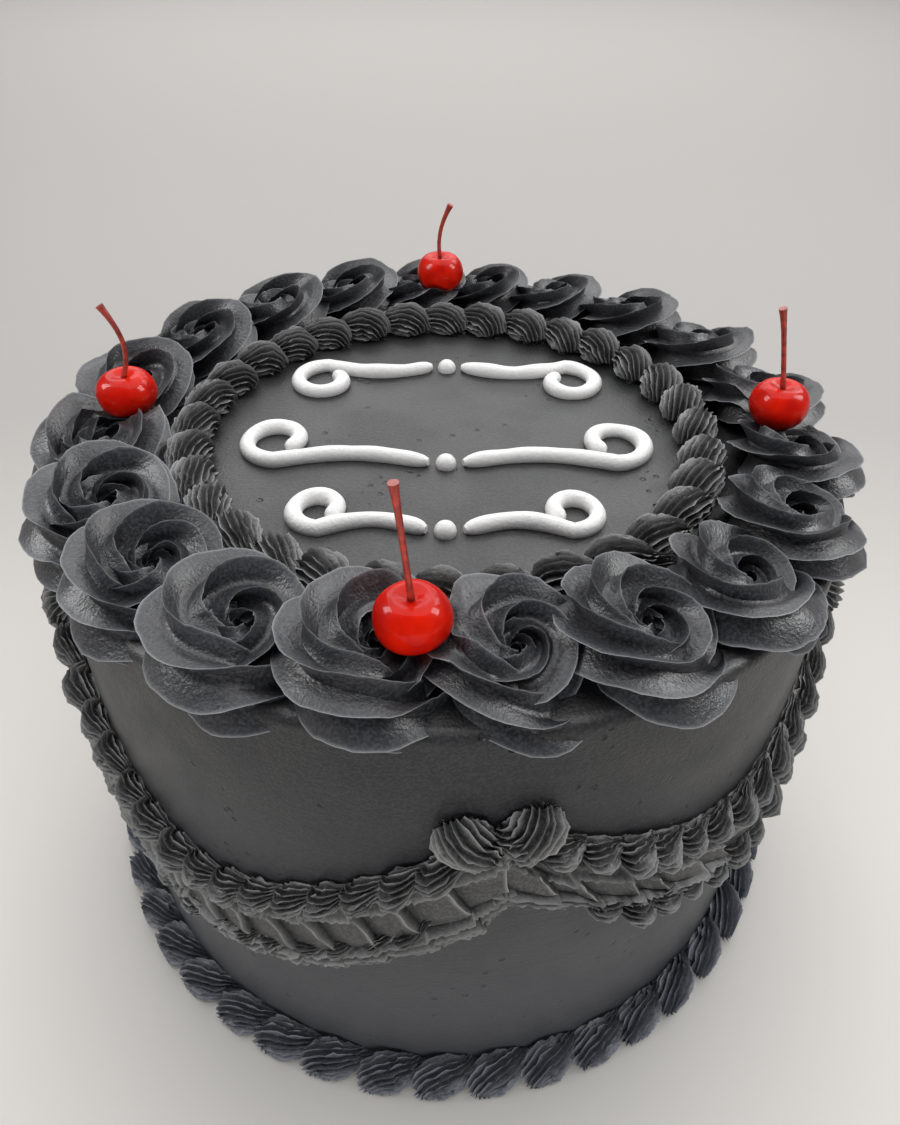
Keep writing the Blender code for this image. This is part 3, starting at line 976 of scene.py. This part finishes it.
for number in range(ROSETTE_COUNT):
    angle = rosette_angle(number)
    beside = on_circle(ROSETTE_DISTANCE, rosette_angle(number - 1))
    spacing = (on_circle(ROSETTE_DISTANCE, angle) - beside).length
    scale = min(1.0, ROSETTE_TO_SPACING * spacing / ROSETTE_RADIUS) * dice.uniform(0.97, 1.04)
    node = f"rosette_{number + 1:02d}"
    hand = number * HAND_STEP % len(models)
    rosette = own_copy(models[hand], "piped_" + node)
    nozzle, turns, start, *_ = ROSETTE_HANDS[hand]
    tail = start + 2 * math.pi * turns
    spin = TUCKED - tail + dice.uniform(-0.4, 0.4)
    distance = ROSETTE_DISTANCE + NUDGES.get(number, 0)
    set_rosette(rosette, distance, angle, SWELL * scale, spin, number + 1)
    hand_in(rosette, node)
for model in models:
    bpy.data.objects.remove(model, do_unlink=True)
print("Rosettes set:", ROSETTE_COUNT)

# %% [markdown]
# ## Shells
#
# A shell is a short squeeze from a finer star. The bag is pressed until the head swells, then
# pulled along and let go, so that the ridges fan out from one point, run over the head and come
# together in the tail. The next shell starts on that tail. One shell is modelled in millimetres,
# lying along X, as a few points of (along, across, up, size, turn) with a smooth line through
# them, and is then copied for the borders and the garland.

# %% One shell
SHELL_PATH = (
    (-4.6, 0.0, -1.5, 3.0, 0.0),
    (-4.9, 0.0, 1.4, 5.6, 0.0),
    (-2.8, 0.0, 4.0, 7.2, 0.0),
    (1.2, 0.0, 4.8, 7.2, 0.0),
    (5.6, 0.0, 4.2, 5.9, 0.0),
    (10.0, 0.0, 3.2, 4.1, 0.0),
    (14.5, 0.0, 2.3, 2.5, 0.0),
    (18.5, 0.0, 1.6, 1.0, 0.0),
)


def through(points, steps):
    """A smooth line through rows of numbers, with this many steps from one row to the next."""
    rows = [points[0], *points, points[-1]]
    line = []
    for before, start, end, after in zip(rows, rows[1:], rows[2:], rows[3:]):
        for step in range(steps):
            t = step / steps
            line.append(tuple(
                b + 0.5 * t * (c - a + t * (2 * a - 5 * b + 4 * c - d + t * (3 * (b - c) + d - a)))
                for a, b, c, d in zip(before, start, end, after)
            ))
    line.append(tuple(points[-1]))
    return line


shell_model = pipe("shell_model", shell_nozzle, through(SHELL_PATH, 3), garland_piping)
print("Faces of one shell:", len(shell_model.data.polygons))
print("Length of one shell in mm:", round(shell_model.dimensions.x, 1))

# %% [markdown]
# Every copy of the shell gets its own size and turn and is kneaded by noise, slowly as a whole
# and quickly in its ridges. Where it goes is left to a function called place, because the same
# shell lies flat on the top, on the table round the foot, and upright on the wall.

# %% Set a shell
DENT_SCALE = 0.16
RIPPLE_SCALE = 0.9
RIPPLE_SHARE = 0.40
SHELL_SEED_STEPS = (5.1, 2.7)
SHELL_FRAY = 0.0006
SHELL_TORN = 0.0008


def set_shell(shell, size, turn, seed, rough, place, torn=SHELL_TORN):
    """Sizes a shell, turns it, presses it out of shape a little and lays it where place says."""
    shift = Vector((SHELL_SEED_STEPS[0] * seed, SHELL_SEED_STEPS[1] * seed, 0))
    turned = Matrix.Rotation(math.radians(turn), 3, "Z")

    def move(corner):
        local = turned @ Vector(a * b for a, b in zip(corner, size))
        local += rough * noise.noise_vector(local * DENT_SCALE + shift)
        local += RIPPLE_SHARE * rough * noise.noise_vector(local * RIPPLE_SCALE + shift)
        return place(local * MM)

    reshape(shell, move)
    fray(shell, SHELL_FRAY, torn)


# %% [markdown]
# The border on the top is a ring of shells just inside the rosettes. Each one points a little
# inwards, so that their heads make a rope of slanting scallops. A shell's X runs along the ring
# and its Y towards the middle of the cake. The ring is a function, because the foot has one too.

# %% Border on the top
BORDER_JITTER = 0.06
TURN_JITTER = 6
LEAST_SWELL = 0.95
BORDER_ROUGH = 0.5


def shell_ring(name, model, count, ring, level, size, most, turn, seed, torn=SHELL_TORN):
    """A ring of shells, each one a little different, joined into one piece."""
    shells = []
    for number in range(count):
        first = 360 * (number + dice.uniform(-BORDER_JITTER, BORDER_JITTER)) / count

        def place(local, first=first):
            angle = first + math.degrees(local.x / ring)
            return on_circle(min(ring - local.y, WIDEST), angle, max(0.0, level + local.z))

        shell = own_copy(model, f"{name}_{number}")
        swell = dice.uniform(LEAST_SWELL, most)
        lean = turn + dice.uniform(-TURN_JITTER, TURN_JITTER)
        swollen = (size[0], size[1] * swell, size[2] * swell)
        set_shell(shell, swollen, lean, number + seed, BORDER_ROUGH, place, torn)
        shells.append(shell)
    return join(shells, name)


border = shell_ring("piped_top_border", shell_model, count=32, ring=0.0893, level=BODY_HEIGHT,
                    size=(1.0, 1.06, 1.0), most=1.06, turn=-24, seed=0)
hand_in(border, "top_border")
print("Faces of the top border:", len(border.data.polygons))

# %% [markdown]
# The shells round the foot are broader and blunter, piped with a bluer black and standing on the
# table against the wall; their finish is also paler, as painted bounce light from the table. They
# get a model of their own, whose tail bends sideways and stays thick, so that each head sits on
# the tail before it like the strands of a rope.

# %% Border round the foot
FOOT_PATH = (
    (-4.6, 0.0, -1.5, 3.2, 0.0),
    (-4.9, 0.0, 1.4, 6.2, 0.0),
    (-3.0, 0.0, 3.8, 7.5, 0.0),
    (1.2, 0.0, 4.4, 7.3, 0.0),
    (5.6, 0.0, 4.2, 6.2, 0.0),
    (10.0, 0.6, 3.8, 4.7, 0.0),
    (14.5, 1.2, 2.8, 3.0, 0.0),
    (18.5, 1.4, 1.8, 1.2, 0.0),
)

foot_model = pipe("foot_model", shell_nozzle, through(FOOT_PATH, 3), foot_piping)
foot = shell_ring("piped_foot_border", foot_model, count=44, ring=0.1430, level=0.0,
                  size=(1.06, 0.98, 1.20), most=1.05, turn=20, seed=40, torn=0.0011)
hand_in(foot, "foot_border")
print("Faces of the foot border:", len(foot.data.polygons))

# %% [markdown]
# ## Garland
#
# The garland hangs on the wall in five swags between five peaks. Its upper edge is a row of small
# shells. Under them lies a ribbon piped to and fro, whose turns overlap like slanting roof tiles,
# and small shells run along its lower edge. A double shell, two fans that meet in a point, covers
# each peak.
#
# A swag is a length along the wall from one peak to the next. These two helpers say how high its
# middle line runs there, and turn a place on the unrolled wall into a place on the cake.

# %% The line of the garland
PEAK_ANGLES = (-163, -83, -11, 58, 128)
PEAK_MIDDLE = 0.141
SWAG_DROPS = (0.053, 0.037, 0.046, 0.050, 0.046)
SWAG_CURVE = 1.6


def swag_middle(share, drop):
    return PEAK_MIDDLE - drop * (1 - abs(2 * share - 1) ** SWAG_CURVE)


def on_wall(start, along, height, reach):
    return on_circle(BODY_RADIUS + reach, start + math.degrees(along / BODY_RADIUS), height)


print("Lowest points of the garland in mm:", [round((PEAK_MIDDLE - d) / MM) for d in SWAG_DROPS])

# %% [markdown]
# ## Ribbon
#
# The ribbon is one sheet of icing laid in folds. Each row below is a line that runs the length of
# a swag: how far above the middle it lies, how far it stands off the wall, and how much of the
# fold it takes. The lower rows go in and out, which makes the ribs of the lower edge.
#
# Along the ribbon, each fold rises slowly and drops back in one short step, like a roof tile on
# the next. The folds slant, wander and lie straight at both peaks, and slow noise keeps any two
# of them from being the same.

# %% A place on the ribbon
RIBBON_ROWS = (
    (0.0105, 0.0002, 0.0), (0.0096, 0.0030, 0.2), (0.0080, 0.0038, 0.5), (0.0058, 0.0044, 0.6),
    (0.0045, 0.0066, 0.7), (0.0032, 0.0046, 0.9), (0.0000, 0.0040, 1.0), (-0.0030, 0.0045, 1.0),
    (-0.0062, 0.0050, 1.0), (-0.0085, 0.0052, 0.8),
    (-0.0100, 0.0040, 0.5), (-0.0112, 0.0074, 0.4), (-0.0124, 0.0042, 0.4), (-0.0137, 0.0076, 0.4),
    (-0.0150, 0.0038, 0.4), (-0.0163, 0.0064, 0.4), (-0.0174, 0.0026, 0.2), (-0.0183, 0.0040, 0.2),
    (-0.0190, 0.0002, 0.0),
)
ON_THE_WALL = 0.0002
FOLD_DEPTH = 0.0032
FOLD_MIDDLE = 0.35
FOLD_SLANT = 0.6
FOLD_FREE = 0.015
FOLD_WANDER = 0.0035
EDGE_WANDER = 0.0011
EDGE_SCALE = 160
DEPTH_WANDER = 0.5
THICKNESS_WANDER = 0.0006
UNEVEN_SCALES = (65, 45)
UNEVEN_SEED = 5


def ribbon_point(start, length, along, drop, row, fold, seed):
    above, reach, folded = row
    share = max(0.0, min(1.0, along / length))
    free = max(0.0, min(1.0, along / FOLD_FREE, (length - along) / FOLD_FREE))
    wander = noise.noise(Vector((along * EDGE_SCALE, above * EDGE_SCALE, seed)))
    uneven = noise.noise(Vector((
        along * UNEVEN_SCALES[0], above * UNEVEN_SCALES[1], seed + UNEVEN_SEED)))
    if reach > MM:
        lift = folded * FOLD_DEPTH * (fold - FOLD_MIDDLE) * (1 + DEPTH_WANDER * wander)
        reach += lift + THICKNESS_WANDER * wander
    slid = along - FOLD_SLANT * above * free + FOLD_WANDER * free * uneven
    height = swag_middle(share, drop) + above + EDGE_WANDER * wander
    return on_wall(start, slid, height, max(reach, ON_THE_WALL))


print("Rows of the ribbon:", len(RIBBON_ROWS))

# %% [markdown]
# The ribbon starts as a grid primitive with just the right corners, rows by steps. Bridging its
# two long borders gives it a back wall, and filling both ends closes it. Then every corner is
# moved from the flat grid to its place on the ribbon. The outermost rows and the lip of each fold
# count as ridges, so the material paints on them the same pale crest highlight as on the shells,
# which lifts the ribs that face down into shade.

# %% Ribbon with folded turns
RIBBON_STEPS = 14
RIBBON_LAP = 0.006
FOLD_PITCH = 0.0135
FOLD_DROP = 0.6
RIB_REACH = 0.0062
LIP_FOLDED = 0.4
FLAT_RIDGE = 0.12
RIBBON_FRAY = 0.0010


def closed_grid(name, rows, steps):
    """A grid with a back wall between its two long borders and a lid at either end."""
    bpy.ops.object.select_all(action="DESELECT")
    bpy.ops.mesh.primitive_grid_add(x_subdivisions=rows - 1, y_subdivisions=steps)
    grid = bpy.context.object
    grid.name = grid.data.name = name
    let_go_inside()
    for i, corner in enumerate(grid.data.vertices):
        corner.select = i % rows in (0, rows - 1)
    bpy.ops.object.mode_set(mode="EDIT")
    bpy.ops.mesh.bridge_edge_loops()
    bpy.ops.mesh.select_all(action="SELECT")
    bpy.ops.mesh.fill_holes(sides=0)
    bpy.ops.object.mode_set(mode="OBJECT")
    return grid


def make_ribbon(name, start, length, drop, seed):
    steps = round(length / FOLD_PITCH * RIBBON_STEPS)
    ribbon = closed_grid(name, len(RIBBON_ROWS), steps)
    ridge = ribbon.data.attributes.new("ridge", "FLOAT", "POINT")
    for i, corner in enumerate(ribbon.data.vertices):
        step, row = divmod(i, len(RIBBON_ROWS))
        above, reach, folded = RIBBON_ROWS[row]
        last = step % RIBBON_STEPS == RIBBON_STEPS - 1
        along = (length + RIBBON_LAP) * step / steps - RIBBON_LAP / 2
        if last:
            along += FOLD_DROP * length / steps
        fold = step % RIBBON_STEPS / RIBBON_STEPS
        corner.co = ribbon_point(start, length, along, drop, RIBBON_ROWS[row], fold, seed)
        # Painted highlight: ribs and fold lips get ridge 1, the pale crest colour.
        crest = reach > RIB_REACH or (last and folded > LIP_FOLDED)
        ridge.data[i].value = 1.0 if crest else FLAT_RIDGE
    ribbon.data.materials.append(garland_piping)
    fray(ribbon, RIBBON_FRAY)
    face_outwards(ribbon)
    return ribbon


# %% [markdown]
# ## Swags
#
# Every swag is its ribbon with two rows of shells on it. The upper shells follow the swag and
# lean a little differently in each one, as the hand held the bag at another angle. The lower ones
# are pressed flat in two swags and full in the others, because each swag is piped on its own.
#
# Both rows use a smaller shell with fewer ridges, and the same place function: it takes a shell
# from the flat and lays it on the wall along the swag's own line.

# %% Swags
SWAG_PITCH = 0.0112
SWAG_TURNS = (6, 30, 12, 24, 8)
FIRST_SHELL = 0.35
SHELL_JITTER = 0.08
LAST_SHELL_GAP = 0.012
SEEDS_APART = 9
UPPER_LINE = 0.0128
UPPER_SIZE = (0.58, 0.94, 0.84)
UPPER_LEAN = 8
UPPER_ROUGH = 0.6
LOWER_LINE = -0.0135
LOWER_STEP = 0.004
LOWER_SEED = 60
LOWER_TURN = 20
LOWER_LEAN = 14
LOWER_ROUGH = 0.7
LOWER_ROWS = ("flat", "full", "full", "flat", "full")
LOWER_SIZES = {"flat": (0.62, 0.52, 0.72), "full": (0.60, 0.74, 0.95)}

small_shell = pipe("small_shell", small_nozzle, through(SHELL_PATH, 2), garland_piping)


def along_swag(start, length, drop, first, above):
    """Lays a shell on the wall, along the swag's own line."""
    def place(local):
        along = first + local.x
        share = max(0.0, min(1.0, along / length))
        return on_wall(start, along, swag_middle(share, drop) + above + local.y, local.z)

    return place


for number, (start, drop) in enumerate(zip(PEAK_ANGLES, SWAG_DROPS)):
    end = (PEAK_ANGLES + (PEAK_ANGLES[0] + 360,))[number + 1]
    length = BODY_RADIUS * math.radians(end - start)
    pieces = [make_ribbon(f"ribbon_{number + 1}", start, length, drop, number)]
    count = round(length / SWAG_PITCH)
    for i in range(count):
        first = length * (i + FIRST_SHELL + dice.uniform(-SHELL_JITTER, SHELL_JITTER)) / count
        if first > length - LAST_SHELL_GAP:
            break
        shell = own_copy(small_shell, f"swag_shell_{number}_{i}")
        swell = dice.uniform(0.9, 1.1)
        size = (UPPER_SIZE[0], UPPER_SIZE[1] * swell, UPPER_SIZE[2] * swell)
        turn = SWAG_TURNS[number] + dice.uniform(-UPPER_LEAN, UPPER_LEAN)
        seed = SEEDS_APART * number + i
        set_shell(shell, size, turn, seed, UPPER_ROUGH,
                  along_swag(start, length, drop, first, UPPER_LINE))
        pieces.append(shell)
        if 1 < i < count - 2:
            shell = own_copy(small_shell, f"swag_low_shell_{number}_{i}")
            size = [swell * part for part in LOWER_SIZES[LOWER_ROWS[number]]]
            turn = LOWER_TURN + dice.uniform(-LOWER_LEAN, LOWER_LEAN)
            above = LOWER_LINE + dice.uniform(-MM, MM)
            set_shell(shell, size, turn, seed + LOWER_SEED, LOWER_ROUGH,
                      along_swag(start, length, drop, first + LOWER_STEP, above))
            pieces.append(shell)
    swag = join(pieces, f"piped_swag_{number + 1}")
    hand_in(swag, f"swag_{number + 1}")
    print(swag.name, "has", len(swag.data.polygons), "faces")

# %% [markdown]
# ## Double shells
#
# Where two swags meet, two large shells hide the join. They fan out upwards and their tails run
# together in one point. The model's tail is 16.5 mm from its middle, so each fan is moved back by
# that much along its own direction, and both tails end in the same place.

# %% Double shells
FAN_POINT = 0.1395
FAN_TURNS = (-52, -116)
FAN_SIZE = (1.0, 1.18, 0.80)
FAN_LEAN = 5
FAN_ROUGH = 0.7
TAIL_END = Vector((-16.5, 0, 0))

for number, angle in enumerate(PEAK_ANGLES):
    fans = []
    for side, turn in enumerate(FAN_TURNS):
        out_of_point = Matrix.Rotation(math.radians(turn), 3, "Z") @ TAIL_END

        def at_peak(local, angle=angle, start=out_of_point * MM):
            local = local + start
            return on_wall(angle, local.x, FAN_POINT + local.y, local.z)

        fan = own_copy(shell_model, f"fan_{side}")
        turn += dice.uniform(-FAN_LEAN, FAN_LEAN)
        set_shell(fan, FAN_SIZE, turn, 3 * number + side, FAN_ROUGH, at_peak)
        fans.append(fan)
    double = join(fans, f"piped_double_shell_{number + 1}")
    hand_in(double, f"double_shell_{number + 1}")
print("Double shells set:", len(PEAK_ANGLES))

# %% [markdown]
# ## Cherries
#
# Candied cherries are nearly round, a little flatter than tall, with a dimple where the stem goes
# in. Each one starts as a sphere where the CAD model has its cherry. Then its top is pressed in,
# its lower half is drawn in slightly, and a touch of noise takes away the perfect roundness.

# %% Cherries
CHERRY_MIDDLE = 0.00985
CHERRY_SQUASH = 0.92
CHERRY_DRAW = 0.10
CHERRY_DENTS = 0.0004
DENTS_SCALE = 90
DENTS_APART = 40
DIMPLE_WIDTH = 0.0042
DIMPLE_DEPTH = 0.0036


def make_cherry(name, middle):
    bpy.ops.object.select_all(action="DESELECT")
    bpy.ops.mesh.primitive_uv_sphere_add(
        segments=48, ring_count=32, radius=CHERRY_RADIUS, location=middle)
    cherry = bpy.context.object
    cherry.name = name
    bpy.ops.object.transform_apply(location=True, rotation=True, scale=True)

    def move(corner):
        local = corner - middle
        across = math.hypot(local.x, local.y)
        local.z *= CHERRY_SQUASH
        if local.z > 0:
            local.z -= DIMPLE_DEPTH * math.exp(-((across / DIMPLE_WIDTH) ** 2))
        else:
            draw = 1 - CHERRY_DRAW * (local.z / CHERRY_RADIUS) ** 2
            local.x, local.y = local.x * draw, local.y * draw
        local += CHERRY_DENTS * noise.noise_vector(local * DENTS_SCALE + middle * DENTS_APART)
        return middle + local

    reshape(cherry, move)
    cherry.data.materials.append(cherry_skin)
    return cherry


# %% [markdown]
# A stem is a thin rope through the round nozzle. It starts inside the dimple, leans and bows to
# one side, and swells at its tip where it was picked from the tree. Each stem has its own length,
# lean and bow, which are read from the photo.

# %% Stems
STEM_STEPS = 16
STEM_FOOT = 0.0050
STEM_RADIUS = 0.00084
STEM_TIP = 0.00055
STEM_ROOT = 0.0002
TIP_POWER = 7
ROOT_FALL = 9
STEM_INSIDE = 0.0020
STEMS = {
    "front": (0.0340, -0.0035, -0.0008),
    "right": (0.0278, -0.0072, -0.0014),
    "back": (0.0222, 0.0042, -0.0013),
    "left": (0.0248, -0.0020, 0.0034),
}


def make_stem(name, middle, length, lean, bow):
    foot = middle + Vector((0, 0, STEM_FOOT))
    path = []
    for step in range(STEM_STEPS + 1):
        share = step / STEM_STEPS
        sideways = lean * share * share + bow * math.sin(math.pi * share)
        size = STEM_RADIUS + STEM_TIP * share ** TIP_POWER
        size += STEM_ROOT * math.exp(-share * ROOT_FALL)
        height = foot.z + (length + STEM_INSIDE) * share
        path.append((foot.x + sideways, foot.y, height, size, 0.0))
    return pipe(name, round_nozzle, path, stem_bark, "MINIMUM")


for side in SIDES:
    low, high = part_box("cherry_" + side)
    middle = (low + high) / 2
    middle.z = low.z + CHERRY_MIDDLE
    cherry = make_cherry("candied_cherry_" + side, middle)
    hand_in(cherry, "cherry_" + side)
    stem = make_stem("stem_of_cherry_" + side, middle, *STEMS[side])
    hand_in(stem, "stem_" + side)
print("Cherries set:", len(SIDES))

# %% [markdown]
# ## Put the tools away and measure
#
# The nozzles and the model shells were only tools, so they are deleted: what is left in the scene
# would be taken for a piece of the cake.

# %% Finish
for tool in (*NOZZLES, shell_model, foot_model, small_shell):
    bpy.data.objects.remove(tool, do_unlink=True)
low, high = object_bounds()
print("Dressed box in mm:", [round((b - a) / MM, 1) for a, b in zip(low, high)])
